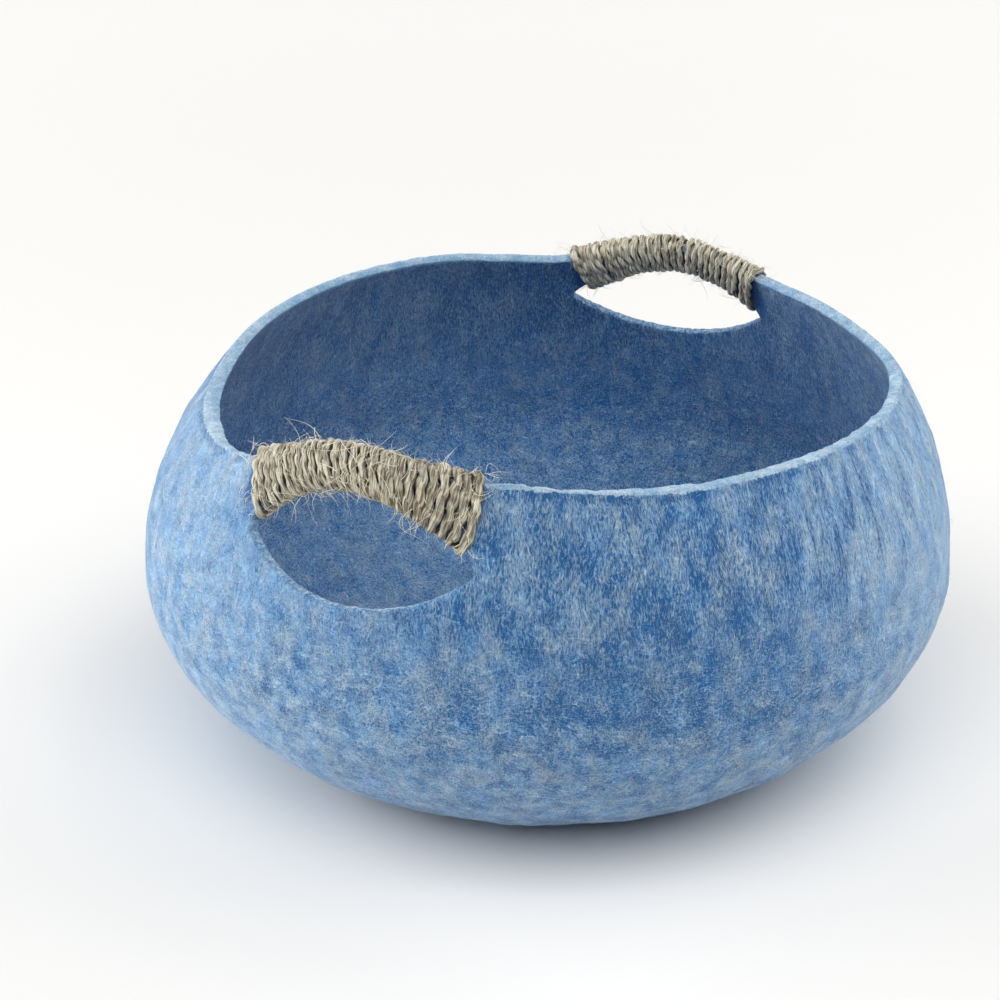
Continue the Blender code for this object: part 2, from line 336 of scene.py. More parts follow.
def outer_relief(bearing, down):
    """How far the outer face stands out of its plain shape: its waves less its creases."""
    return uneven(bearing, down, *OUTER_WAVES) - grooves(bearing, down)


def inner_relief(bearing, down):
    """How far the inner face stands out of its plain shape: its waves."""
    return uneven(bearing, down, *INNER_WAVES)


def paleness_and_painted_light(bearing, down):
    """How much more pale wool is laid in than on average, together with painted light and shade:
    bell-shaped bands and oval spots.
    """
    low = smooth(down, *LOW_DOWN)
    # the lower wall painted paler: painted light from the floor below
    total = 0.11 * low + 0.10 * smooth(down, 0.030, 0.0) * bell(degrees_off(bearing, 2.0), 24.0)
    for middle, half, amount, fades in WOOL_AND_LIGHT_BANDS:
        total = total + amount * (1.0 - fades * low) * bell(degrees_off(bearing, middle), half)

    def with_spots(total, spots, start):
        """Total with spots added, whose bearings are counted from a start."""
        for middle, half, level, reach, amount in spots:
            total = total + amount * np.exp(-(degrees_off(bearing, start + middle) / half) ** 2
                                            - ((down - level) / reach) ** 2)
        return total

    total = with_spots(total, WOOL_AND_LIGHT_SPOTS, 0.0)
    for _, hole, winding, _, _ in HANDLES:
        # painted shade on the felt under each winding, then the spots round each hole
        bound = smooth(np.abs(degrees_off(bearing, winding)), *BOUND_OFF)
        total = with_spots(total - PAINTED_SHADE_UNDER_CORD * bound * smooth(down, *BOUND_DOWN),
                           HOLE_SPOTS, hole)
    return total


def wool_lay(bearing, down):
    """Each place's paleness with its painted light and shade, how upright its wool lies, and how
    finely it is pleated.

    The last two are bell-shaped bands round the bowl, with S-shaped steps down the wall.
    """
    upright = smooth(down, 0.125, 0.040) * (1.0 - 0.85 * bell(degrees_off(bearing, -130.0), 32.0))
    pleated = (bell(degrees_off(bearing, -14.0), 22.0)
               * smooth(down, 0.001, 0.010) * smooth(down, 0.085, 0.045))
    return stacked(paleness_and_painted_light(bearing, down), upright, pleated)


def new_mesh(name, points, faces, attributes=()):
    """Mesh from points, lists of faces and named values at its points."""
    mesh = bpy.data.meshes.new(name)
    mesh.from_pydata(points.reshape(-1, 3).tolist(), [],
                     [face for group in faces for face in np.asarray(group).tolist()])
    mesh.update()
    for label, values in attributes:
        kind, field = ("FLOAT", "value") if values.ndim == 1 else ("FLOAT_VECTOR", "vector")
        layer = mesh.attributes.new(label, kind, "POINT")
        layer.data.foreach_set(field, np.ascontiguousarray(values, dtype=np.float32).ravel())
    mesh.shade_smooth()
    return mesh


def new_object(name, data):
    """Object in the scene."""
    thing = bpy.data.objects.new(name, data)
    bpy.context.scene.collection.objects.link(thing)
    return thing


def new_piece(name, mesh, finish):
    """Object of the bed, riding on its one body."""
    mesh.materials.append(finish)
    piece = new_object(name, mesh)
    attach(piece, "root")
    return piece


# --- Felt bowl -------------------------------------------------------------------------------

def column_bearings():
    """Bearings of the bowl's columns, closer together where the wall is pleated."""
    fine = np.linspace(FINE_FROM, FINE_TO, FINE_COLUMNS, endpoint=False)
    other = np.linspace(FINE_TO, FINE_FROM + 360.0, OTHER_COLUMNS, endpoint=False)
    return np.concatenate([fine, other])


def hole_outline(hole, corners):
    """Closed outline of a hand hole as across and down, and its normals away from the hole."""
    sweep = -HOLE_HALF_WIDTH * np.cos(np.linspace(0.0, math.pi, EDGE_SAMPLES + 1))
    back = sweep[::-1][1:-1]
    line = np.concatenate([stacked(sweep, low_edge(sweep, hole, corners)),
                           stacked(back, top_edge(back, hole, corners))])
    line[:, 0] *= np.where(line[:, 0] < 0.0, 1.0 - LEFT_CORNER / HOLE_HALF_WIDTH, 1.0)
    along = unit(np.roll(line, -1, axis=0) - np.roll(line, 1, axis=0))
    return line, stacked(-along[:, 1], along[:, 0])


def rounded_edge():
    """Depths of the rings over a cut face and their setbacks.

    They go round a quarter circle at either edge, with a straight face between.
    """
    turn = np.linspace(0.0, math.pi / 2.0, 4)[1:]
    first_in = EDGE_ROUND * (1.0 - np.cos(turn))
    first_back = EDGE_ROUND * (1.0 - np.sin(turn))
    middle = np.linspace(EDGE_ROUND, FELT - EDGE_ROUND, HOLE_WALL_RINGS - 4)[1:-1]
    inward = np.concatenate([first_in, middle, FELT - first_in[::-1]])
    setback = np.concatenate([first_back, np.zeros(len(middle)), first_back[::-1]])
    return inward, setback


def spread_picks(pick, gap, samples):
    """Outline samples of the grid points, with the farther of two on one sample moved to its
    nearer free neighbour, so that no face of the hole's edge has no width."""
    pick = pick.copy()
    used, times = np.unique(pick, return_counts=True)
    for sample in used[times > 1]:
        sharing = np.nonzero(pick == sample)[0]
        for k in sharing[np.argsort(gap[sharing, sample])][1:]:
            free = [j for j in ((sample - 1) % samples, (sample + 1) % samples) if j not in pick]
            if free:
                pick[k] = min(free, key=lambda j: gap[k, j])
    return pick


def cut_hole(wall_b, wall_d, hole, corners):
    """Cells of the wall's grid inside a hand hole, after moving the cells' corners to its outline.

    A cell is inside where its middle lies between the hole's two edges. A corner that only some of
    its four cells share goes to the nearest sample of the outline. Returns the mask of the cells
    to leave out and, for those corners, their rows, columns, outline points and normals. wall_b
    and wall_d are changed in place.
    """
    line, normal = hole_outline(hole, corners)
    nxt = np.roll(np.arange(wall_b.shape[1]), -1)
    off = across_of(wall_b, hole)
    step = across_of(wall_b[:, nxt], wall_b)
    mid_x = (off + 0.5 * step)[:-1]
    mid_d = 0.25 * (wall_d[:-1] + wall_d[1:] + wall_d[:-1, nxt] + wall_d[1:, nxt])
    x = drawn_in(mid_x)
    near = np.abs(x) < HOLE_HALF_WIDTH
    x = np.where(near, x, 0.0)
    inside = near & (mid_d > top_edge(x, hole, corners)) & (mid_d < low_edge(x, hole, corners))
    taken = np.zeros(wall_b.shape, dtype=int)
    for rows in (slice(0, -1), slice(1, None)):
        taken[rows] += inside
        taken[rows] += np.roll(inside, 1, axis=1)
    row, col = np.nonzero((taken > 0) & (taken < 4))
    spot = stacked(off[row, col], wall_d[row, col])
    gap = np.linalg.norm(spot[:, None, :] - line[None, :, :], axis=2)
    pick = gap.argmin(axis=1)
    for tip in (0, EDGE_SAMPLES):
        pick[gap[:, tip].argmin()] = tip
    pick = spread_picks(pick, gap, len(line))
    edge, away = line[pick], normal[pick]
    moved = edge + EDGE_ROUND * away
    wall_b[row, col] = bearing_of(moved[:, 0], hole)
    wall_d[row, col] = moved[:, 1]
    return inside, row, col, edge, away


def felt_bowl(finish):
    """The whole bowl as one closed skin with rounded cut edges.

    A grid of columns round the bowl and rows from the middle of the inner floor, up the inner wall,
    over the rim, down the outer wall and under the base. Cells inside the hand holes are left out,
    and rings across the felt join their two outlines.
    """
    cols = column_bearings()
    count = len(cols)
    _, lean, bend = wall_arc(cols)
    to_belly = bend * lean
    nick, nick_half, nick_depth = NICK
    rough = (uneven(cols, 0.0, *CUT_WAVES)
             - nick_depth * bell(degrees_off(cols, nick), nick_half))
    inner_top = -FELT * np.tan(lean) * rim_level(cols) + rough
    share = np.linspace(0.0, 1.0, WALL_ROWS + 1)[:, None]
    outer_d = rough + EDGE_ROUND + (to_belly - rough - EDGE_ROUND) * share
    inner_d = inner_top + EDGE_ROUND + (to_belly - inner_top - EDGE_ROUND) * share
    outer_b = np.broadcast_to(cols, outer_d.shape).copy()
    inner_b = outer_b.copy()
    cuts = []
    for _, hole, _, _, corners in HANDLES:
        cuts.append((hole, cut_hole(outer_b, outer_d, hole, corners)))
        cut_hole(inner_b, inner_d, hole, corners)

    blocks = []

    def add(spot, bearing, down, cut_face=0.0, inner=0.0):
        """One block of points with the fibres' places, the kind of surface and the wool's lay."""
        bearing, down = (np.broadcast_to(value, spot.shape[:-1]) for value in (bearing, down))
        blocks.append([part.reshape(-1, 3) for part in (
            spot, place(bearing, GRAIN_RADIUS, down), stacked(cut_face, inner, down),
            wool_lay(bearing, down))])

    def so_far():
        """Number of points in the blocks so far."""
        return sum(len(block[0]) for block in blocks)

    # inner floor and underside, from the middle outwards and up
    add(np.array([[0.0, 0.0, FELT]]), 0.0, UNDERSIDE + 0.22, 0.0, 1.0)
    for part in FLOOR_RINGS:
        reach = part * BASE_RADIUS
        sag = 0.5 * inner_relief(cols, FLOOR_DOWN - reach)
        add(place(cols, reach, FELT + sag), cols, FLOOR_DOWN - reach, 0.0, 1.0)
    for s in np.linspace(1.0, 0.0, INNER_UNDER_ROWS + 1)[:-1]:
        down = to_belly + UNDERSIDE * s
        add(under_point(cols, s, -FELT + 0.7 * inner_relief(cols, down)), cols, down, 0.0, 1.0)
    inner_start = so_far()
    relief = inner_relief(inner_b, inner_d) * smooth(inner_d, 0.0, 0.012)
    add(wall_point(inner_b, inner_d, -FELT + relief)[::-1], inner_b[::-1], inner_d[::-1],
        smooth(inner_d[::-1], CUT_BLEND, 0.0), 1.0)

    # rim: round the inner edge, across the cut and round the outer edge
    cut_out, cut_down = unit(stacked(-FELT, inner_top - rough)).T
    for f in EDGE_STEPS:
        bow = (1.0 - f) ** 2
        out = -FELT - f ** 2 * EDGE_ROUND * cut_out
        down = inner_top + bow * EDGE_ROUND - f ** 2 * EDGE_ROUND * cut_down
        add(wall_point(cols, down, out), cols, 0.5 * down, 1.0, 1.0 - 0.6 * f)
    crown = CROWN + uneven(cols, 0.0, *CROWN_WAVES)
    add(wall_point(cols, 0.5 * (inner_top + rough) - crown, -0.5 * FELT), cols, -0.001, 1.0, 0.2)
    for f in EDGE_STEPS[::-1]:
        out = f ** 2 * EDGE_ROUND * cut_out
        down = rough + (1.0 - f) ** 2 * EDGE_ROUND + f ** 2 * EDGE_ROUND * cut_down
        add(wall_point(cols, down, out), cols, down, 1.0)

    outer_start = so_far()
    relief = outer_relief(outer_b, outer_d) * smooth(outer_d, 0.0, 0.006)
    add(wall_point(outer_b, outer_d, relief), outer_b, outer_d, smooth(outer_d, CUT_BLEND, 0.0))
    for s in np.linspace(0.0, 1.0, UNDER_ROWS + 1)[1:]:
        down = to_belly + UNDERSIDE * s
        relief = outer_relief(cols, down) * (1.0 - smooth(s, 0.82, 0.98))
        add(under_point(cols, s, relief), cols, down)
    for part in FLOOR_RINGS[::-1]:
        add(place(cols, part * BASE_RADIUS, 0.0), cols, FLOOR_DOWN + (1.0 - part) * BASE_RADIUS)
    add(np.zeros((1, 3)), 0.0, FLOOR_DOWN + BASE_RADIUS)

    total = so_far()
    rows = (total - 2) // count
    first = 1 + np.arange(rows - 1)[:, None] * count
    here = np.arange(count)
    after = (here + 1) % count
    cells = stacked(first + here, first + after, first + count + after, first + count + here)
    kept = np.ones(cells.shape[:2], dtype=bool)
    inner_row = (inner_start - 1) // count
    outer_row = (outer_start - 1) // count
    faces = []
    for hole, (inside, row, col, edge, away) in cuts:
        kept[outer_row:outer_row + WALL_ROWS] &= ~inside
        kept[inner_row:inner_row + WALL_ROWS] &= ~inside[::-1]
        outer_ids = outer_start + row * count + col
        inner_ids = inner_start + (WALL_ROWS - row) * count + col
        inward, setback = rounded_edge()
        rough_face = HOLE_ROUGH * np.random.default_rng(SEED_HOLE_FACE).normal(size=len(row))
        ladder = [outer_ids]
        for depth, back in zip(inward[:-1], setback[:-1]):
            spot = edge + (back + rough_face * (back < EDGE_ROUND * 0.5))[:, None] * away
            bearing = bearing_of(spot[:, 0], hole)
            ladder.append(so_far() + np.arange(len(row)))
            # inner rises across the hole's cut face, so its inner part gets the painted shade of
            # the inside
            add(wall_point(bearing, spot[:, 1], -depth), bearing, spot[:, 1],
                0.45 * smooth(depth, 0.0002, 0.0016), 0.8 * smooth(depth, 0.0, FELT))
        ladder.append(inner_ids)
        # sides of the cells left out that face a kept one, as pairs of moved corners
        seat = np.zeros(outer_b.shape, dtype=int)
        seat[row, col] = np.arange(len(row))
        r, c = np.nonzero(inside)
        left, right = (c - 1) % count, (c + 1) % count
        ring = seat[[r, r, r + 1, r + 1], [c, right, right, c]]
        beside_kept = ~inside[[r - 1, r, r + 1, r], [c, right, c, left]]
        pairs = stacked(ring, np.roll(ring, -1, axis=0)).swapaxes(0, 1)[beside_kept.T]
        for upper, lower in zip(ladder[:-1], ladder[1:]):
            faces.append(stacked(upper[pairs[:, 0]], upper[pairs[:, 1]],
                                 lower[pairs[:, 1]], lower[pairs[:, 0]]))
    tail = 1 + (rows - 1) * count
    faces += [cells[kept], stacked(0, 1 + after, 1 + here),
              stacked(total - 1, tail + here, tail + after)]
    points, *values = (np.concatenate(parts) for parts in zip(*blocks))
    mesh = new_mesh("felt_bowl", points, [group[:, ::-1] for group in faces],
                    zip(("grain", "zones", "wool"), values))
    return new_piece("felt_bowl", mesh, finish)


# --- Cord ------------------------------------------------------------------------------------

def round_strip(handle, share, turn, cover):
    """Point round the strip of felt, on a superellipse section a cover's thickness outside it.

    share goes from 0 to 1 along the strip, and turn is the angle round it: 0 is the outer side and
    a quarter turn is the hole's side. The line across the strip fans out from hole to rim.
    """
    _, hole, winding, _, corners = handle
    swing = 2.0 * share - 1.0
    top = winding + WIND_TOP_HALF * swing
    across_hole = np.radians(WIND_LOW_HALF * swing) * HOLE_WALL_RADIUS
    low_bearing = bearing_of(across_hole, hole)
    low_down = top_edge(across_hole, hole, corners)
    c, s = np.cos(turn), np.sin(turn)
    across = np.sign(c) * np.abs(c) ** (2.0 / WIND_ROUNDNESS)
    along = np.sign(s) * np.abs(s) ** (2.0 / WIND_ROUNDNESS)
    down = 0.5 * low_down + (0.5 * low_down + cover) * along
    bearing = top + (low_bearing - top) * down / low_down
    return wall_point(bearing, down, -0.5 * FELT + (0.5 * FELT + cover) * across)


def soft_noise(values, seed, spacing):
    """Smooth random curve of about 1 over values, through random heights a spacing apart."""
    rng = np.random.default_rng(seed)
    step = values / spacing
    step = step - step.min()
    heights = rng.normal(size=int(step.max()) + 3)
    index = step.astype(int)
    f = smooth(step - index, 0.0, 1.0)
    return heights[index] * (1.0 - f) + heights[index + 1] * f


def cord_course(handle, seed, bowed):
    """Wound cord: its middle line, outward directions, length so far, looseness, size and room.

    The angle round the strip grows evenly with the turns, from the inner side on. The turns lie
    closest a quarter of the way from the left and widest three quarters of the way. They lean back
    at the left, bow on the outer side at both ends, and each strays a little of its own. The cord's
    ends run back under their neighbours.
    """
    count = np.arange(TURNS)
    width = 1.0 - 0.17 * bell(count - 6.3, 3.2) + 0.03 * bell(count - 17.5, 2.5)
    edges = 1.022 * np.concatenate([[0.0], np.cumsum(width)]) / width.sum()
    fine = np.linspace(0.0, TURNS, TURNS * 200 + 1)

    def wander(number, spacing):
        """Random curve along the cord."""
        return soft_noise(fine, seed + number, spacing)

    along = np.interp(fine, np.arange(TURNS + 1), edges)
    right = smooth(along, 0.72, 0.95)
    loose = smooth(along, 0.42, 0.70)
    stray = 0.0026 + 0.0035 * right
    lean = 0.065 * np.clip(1.0 - along / 0.85, 0.0, 1.0)
    drawn = smooth(along, 0.60, 1.02)
    top = along + 0.5 * lean - 0.024 * drawn + stray * wander(0, 1.0)
    low = along - 0.5 * lean - 0.036 * drawn + stray * wander(1, 1.0)
    bow = bowed * (-0.005 + 0.026 * np.clip(1.0 - along / 0.25, 0.0, 1.0) ** 2 + 0.010 * loose
                   + 0.034 * right + 0.3 * stray * wander(4, 1.0))
    turn = 2.0 * math.pi * fine + math.pi
    tail = (1.0 - smooth(fine, 0.0, TAIL)) - (1.0 - smooth(TURNS - fine, 0.0, TAIL))
    share = (0.5 * (top + low) + 0.5 * (low - top) * np.sin(turn)
             + bow * np.maximum(np.cos(turn), 0.0) + 0.0014 * wander(5, 0.4) + 0.05 * tail)
    share = np.clip(share, -0.030, 1.045)
    lift = (0.00014 * wander(2, 0.37) + (0.00022 + 0.00040 * right) * np.abs(wander(3, 0.8))
            - 0.0012 * np.abs(tail))
    size = 1.00 - 0.15 * bell(along - 0.24, 0.12) + 0.04 * loose
    cover = CLEARANCE + (PLY_RADIUS + PLY_OFFSET) * size + lift
    middle = round_strip(handle, share, turn, cover)
    outward = round_strip(handle, share, turn, cover + 0.001) - middle
    travelled = np.concatenate([[0.0], np.cumsum(np.linalg.norm(np.diff(middle, axis=0), axis=1))])
    even = np.linspace(0.0, travelled[-1], int(travelled[-1] / PLY_STEP))

    def evenly(values):
        """Values at even lengths of cord."""
        return np.stack([np.interp(even, travelled, row) for row in values], -1)

    room = 1.0 - 0.08 * np.sin(turn)
    return evenly(middle.T), evenly(outward.T), even, *evenly((loose, size, room)).T


def unit(v):
    """Vectors at length 1."""
    return v / np.maximum(np.linalg.norm(v, axis=-1, keepdims=True), 1e-12)


def square_to(line, side):
    """Two directions square to a line and to each other, the first of them towards a side."""
    along = unit(np.gradient(line, axis=-2))
    first = unit(side - along * np.sum(side * along, axis=-1, keepdims=True))
    return first[..., None, :], np.cross(along, first)[..., None, :]


def tube(line, side, radius, sides):
    """Rings round each line, cos and sin of even angles along two directions square to it."""
    first, second = square_to(line, side)
    turn = 2.0 * math.pi * np.arange(sides) / sides
    ring = np.cos(turn)[:, None] * first + np.sin(turn)[:, None] * second
    return line[..., None, :] + radius[..., None, None] * ring


def tube_faces(lines, rings, sides):
    """Quads between the rings of each of several tubes, and a face over each of their ends."""
    start = (np.arange(lines) * rings * sides)[:, None, None]
    ring = (np.arange(rings - 1) * sides)[None, :, None]
    here = np.arange(sides)[None, None, :]
    after = (here + 1) % sides
    base = start + ring
    quads = stacked(base + here, base + after, base + sides + after,
                    base + sides + here).reshape(-1, 4)
    low = start[:, 0] + np.arange(sides)[::-1]
    high = start[:, 0] + (rings - 1) * sides + np.arange(sides)
    return [quads, low, high]


def cord_winding(handle, seed, bowed, finish):
    """The cord wound round one strip: two plies that twist round each other, as one piece.

    Each ply is an oval round a point that circles the cord's middle line. Where the cord is loose
    its lay is longer and its plies swell and flatten.
    """
    line, side, length, loose, size, room = cord_course(handle, seed, bowed)
    first, second = square_to(line, side)
    step = length[1] - length[0]
    laid = np.cumsum(step / (LAY * (1.0 + 0.18 * loose))) * 2.0 * math.pi
    around_ply = 2.0 * math.pi * np.arange(PLY_SIDES) / PLY_SIDES
    plies, faces = [], []

    def wander(number, spacing):
        """Random curve along the cord."""
        return soft_noise(length, seed + number, spacing)

    for ply in (0, 1):
        phase = -laid + ply * math.pi + 0.55 * wander(7, 0.022)
        thick = PLY_RADIUS * size * (1.0 + 0.07 * wander(11 + ply, 0.006)
                                     + 0.05 * wander(13 + ply, 0.0021))
        offset = PLY_OFFSET * size * (1.0 + 0.08 * wander(17, 0.011))
        high = (0.72 * offset * np.cos(phase))[:, None] + 1.14 * thick[:, None] * np.cos(around_ply)
        wide = ((0.60 + 0.06 * loose) * offset * np.sin(phase))[:, None]
        wide = wide + ((1.03 + 0.34 * loose) * room * thick)[:, None] * np.sin(around_ply)
        spot = line[:, None, :] + high[..., None] * first + wide[..., None] * second
        # lie: how high each point stands, for painted shade in the valleys, and how loose the cord
        # is, for painted shade on its loose part
        high = high / (PLY_OFFSET + PLY_RADIUS) / size[:, None]
        turn = around_ply - 0.5 * laid[:, None]
        plies.append([part.reshape(-1, 3) for part in (
            spot, stacked(0.0014 * np.cos(turn) + 0.05 * ply, 0.0014 * np.sin(turn),
                          length[:, None]),
            stacked(high, bowed * loose[:, None], 0.0))])
        faces += [group + ply * len(length) * PLY_SIDES
                  for group in tube_faces(1, len(length), PLY_SIDES)]
    points, *values = (np.concatenate(parts) for parts in zip(*plies))
    mesh = new_mesh("cord", points, faces, zip(("strand", "lie"), values))
    return new_piece("jute_" + handle[0], mesh, finish)


def fibres(name, roots, ways, lengths, thickness, bend, seed, finish, steps):
    """Loose curved fibres: a line from each root, bent by a parabola and a slow wave, tapering."""
    rng = np.random.default_rng(seed)
    count = len(roots)
    t = np.linspace(0.0, 1.0, steps)[None, :, None]
    ways = unit(ways)
    aside = unit(np.cross(ways, rng.normal(size=(count, 3))))
    third = np.cross(ways, aside)
    bend = np.broadcast_to(bend, count)[:, None, None]
    bow = bend * rng.uniform(0.3, 1.0, (count, 1, 1))
    curl = bend * 0.45 * rng.normal(size=(count, 1, 1))
    long = lengths[:, None, None]
    line = (roots[:, None, :] + long * ((t - 0.35 * bow ** 2 * t ** 3) * ways[:, None, :]
            + bow * t ** 2 * aside[:, None, :]
            + curl * (np.sin(t * rng.uniform(2.0, 5.0, (count, 1, 1)))) * third[:, None, :] * 0.5))
    taper = thickness[:, None] * (1.0 - 0.75 * np.linspace(0.0, 1.0, steps)[None, :] ** 2)
    rings = tube(line, np.broadcast_to(aside[:, None, :], line.shape), taper, FIBRE_SIDES)
    tone = np.repeat(rng.uniform(0.0, 1.0, count), steps * FIBRE_SIDES)
    return new_piece(name, new_mesh(name, rings, tube_faces(count, steps, FIBRE_SIDES),
                                    (("tone", tone),)), finish)


def cord_fibres(handle, seed, finish):
    """Loose jute fibres round one winding: short ones all over, long ones on top and below.

    Each kind has its place round the strip and along it, the way it points in, which adds up
    directions round the strip, along it and out of it, its length, thickness and bend.
    """
    rng = np.random.default_rng(seed)
    quarter = 0.5 * math.pi
    kinds = (
        # number, share from and to, angle and its spread, the way it points in (round the strip,
        # along it, out of it), length from and to, radius from and to, bend
        (300, 0.00, 1.00, 0.0, 9.00, 1.0, 0.6, 0.20, 0.0025, 0.0080, 0.00006, 0.00010, 0.7),
        (90, 0.00, 1.00, 0.0, 1.00, 0.9, 0.9, 0.10, 0.0060, 0.0160, 0.00012, 0.00020, 0.7),
        (30, 0.55, 1.00, 0.0, 0.70, 0.9, 0.6, 0.08, 0.0090, 0.0200, 0.00010, 0.00017, 0.6),
        (10, 0.20, 0.95, -0.7, 0.60, 0.7, 0.9, 0.12, 0.0180, 0.0280, 0.00010, 0.00016, 0.6),
        (36, 0.00, 1.00, quarter, 0.35, 0.5, 1.0, 0.55, 0.0060, 0.0170, 0.00012, 0.00019, 0.7),
        (24, 0.00, 1.00, -quarter, 0.45, 0.6, 1.0, 0.16, 0.0050, 0.0130, 0.00010, 0.00016, 0.8),
        (20, 0.97, 1.03, -0.2, 0.80, 0.3, 1.6, 0.50, 0.0060, 0.0150, 0.00010, 0.00016, 1.2),
        (8, -0.02, 0.03, 0.0, 0.90, 0.3, -1.6, 0.40, 0.0050, 0.0100, 0.00010, 0.00016, 1.0),
    )
    made = []
    for (number, start, stop, angle, spread, way, along, out,
         short, long, thin, thick, bend) in kinds:
        share = rng.uniform(start, stop, number)
        turn = angle + spread * np.clip(rng.normal(size=number), -1.8, 1.8)
        cover = np.full(number, CLEARANCE + 2.0 * (PLY_RADIUS + PLY_OFFSET) - 0.0005)
        root = round_strip(handle, share, turn, cover)
        off = unit(round_strip(handle, share, turn, cover + 0.001) - root)
        ring = unit(round_strip(handle, share, turn + 0.02, cover) - root)
        line = unit(round_strip(handle, share + 0.01, turn, cover) - root)
        sign = 1.0 if abs(along) > 1.5 else rng.choice([-1.0, 1.0], number)[:, None]
        ways = (rng.choice([-1.0, 1.0], number)[:, None] * way * ring
                + sign * along * rng.uniform(0.2, 1.0, (number, 1)) * line
                + out * rng.uniform(0.1, 1.0, (number, 1)) * off)
        lengths = short + (long - short) * rng.uniform(size=number) ** 1.5
        made.append((root, ways, lengths, rng.uniform(thin, thick, number),
                     np.full(number, bend)))
    return fibres("loose_" + handle[0], *(np.concatenate(parts) for parts in zip(*made)),
                  seed + 1, finish, steps=9)


def wool_fuzz(finish):
    """Short wool fibres lying close on the outer face, at random places outside the holes."""
    rng = np.random.default_rng(SEED_FUZZ)
    bearing = rng.uniform(-180.0, 180.0, FUZZ_TRIED)
    down = rng.uniform(*FUZZ_DOWN, FUZZ_TRIED)
    keep = np.ones(FUZZ_TRIED, dtype=bool)
    for _, hole, _, _, corners in HANDLES:
        x = across_of(bearing, hole)
        near = np.abs(x) < HOLE_HALF_WIDTH
        x = np.where(near, x, 0.0)
        keep &= ~(near & (down < low_edge(x, hole, corners) + 0.001))
    bearing, down = bearing[keep], down[keep]
    _, lean, bend = wall_arc(bearing)
    to_belly = bend * lean
    under = down > to_belly
    share = np.clip((down - to_belly) / UNDERSIDE, 0.0, 0.9)
    root, above = (np.where(under[:, None], under_point(bearing, share, off),
                            wall_point(bearing, down, off)) for off in (0.0, 0.001))
    out = unit(above - root)
    root = root + out * outer_relief(bearing, down)[:, None]
    level = unit(np.cross([0.0, 0.0, 1.0], out))
    slope = np.cross(out, level)
    course = rng.uniform(0.0, 2.0 * math.pi, len(bearing))
    ways = (np.cos(course)[:, None] * level + np.sin(course)[:, None] * slope
            + out * rng.uniform(0.05, 0.35, (len(bearing), 1)))
    above_floor = root[:, 2] > 0.006
    root = (root - out * 0.0001)[above_floor]
    count = len(root)
    return fibres("wool_fuzz", root, ways[above_floor], rng.uniform(*FUZZ_LENGTH, count),
                  rng.uniform(0.00005, 0.00009, count), 0.8, SEED_FUZZ + 1, finish, steps=5)


# --- Finishes --------------------------------------------------------------------------------

class Amount:
    """A number that changes over a surface; + - and * on it add Math nodes."""

    def __init__(self, finish, socket):
        self.finish = finish
        self.socket = socket

    def __add__(self, other):
        return self.finish.math("ADD", self, other)

    def __radd__(self, other):
        return self.finish.math("ADD", other, self)

    def __sub__(self, other):
        return self.finish.math("SUBTRACT", self, other)

    def __rsub__(self, other):
        return self.finish.math("SUBTRACT", other, self)

    def __mul__(self, other):
        return self.finish.math("MULTIPLY", self, other)

    def __rmul__(self, other):
        return self.finish.math("MULTIPLY", other, self)

    def step(self, low, high):
        """0 below low, 1 above high, smooth between; falling where low is above high."""
        made = self.finish.node(
            "ShaderNodeMapRange", {"interpolation_type": "SMOOTHSTEP"},
            {"Value": self, "From Min": min(low, high), "From Max": max(low, high),
             "To Min": 0.0 if low < high else 1.0, "To Max": 1.0 if low < high else 0.0})
        return Amount(self.finish, made.outputs[0])


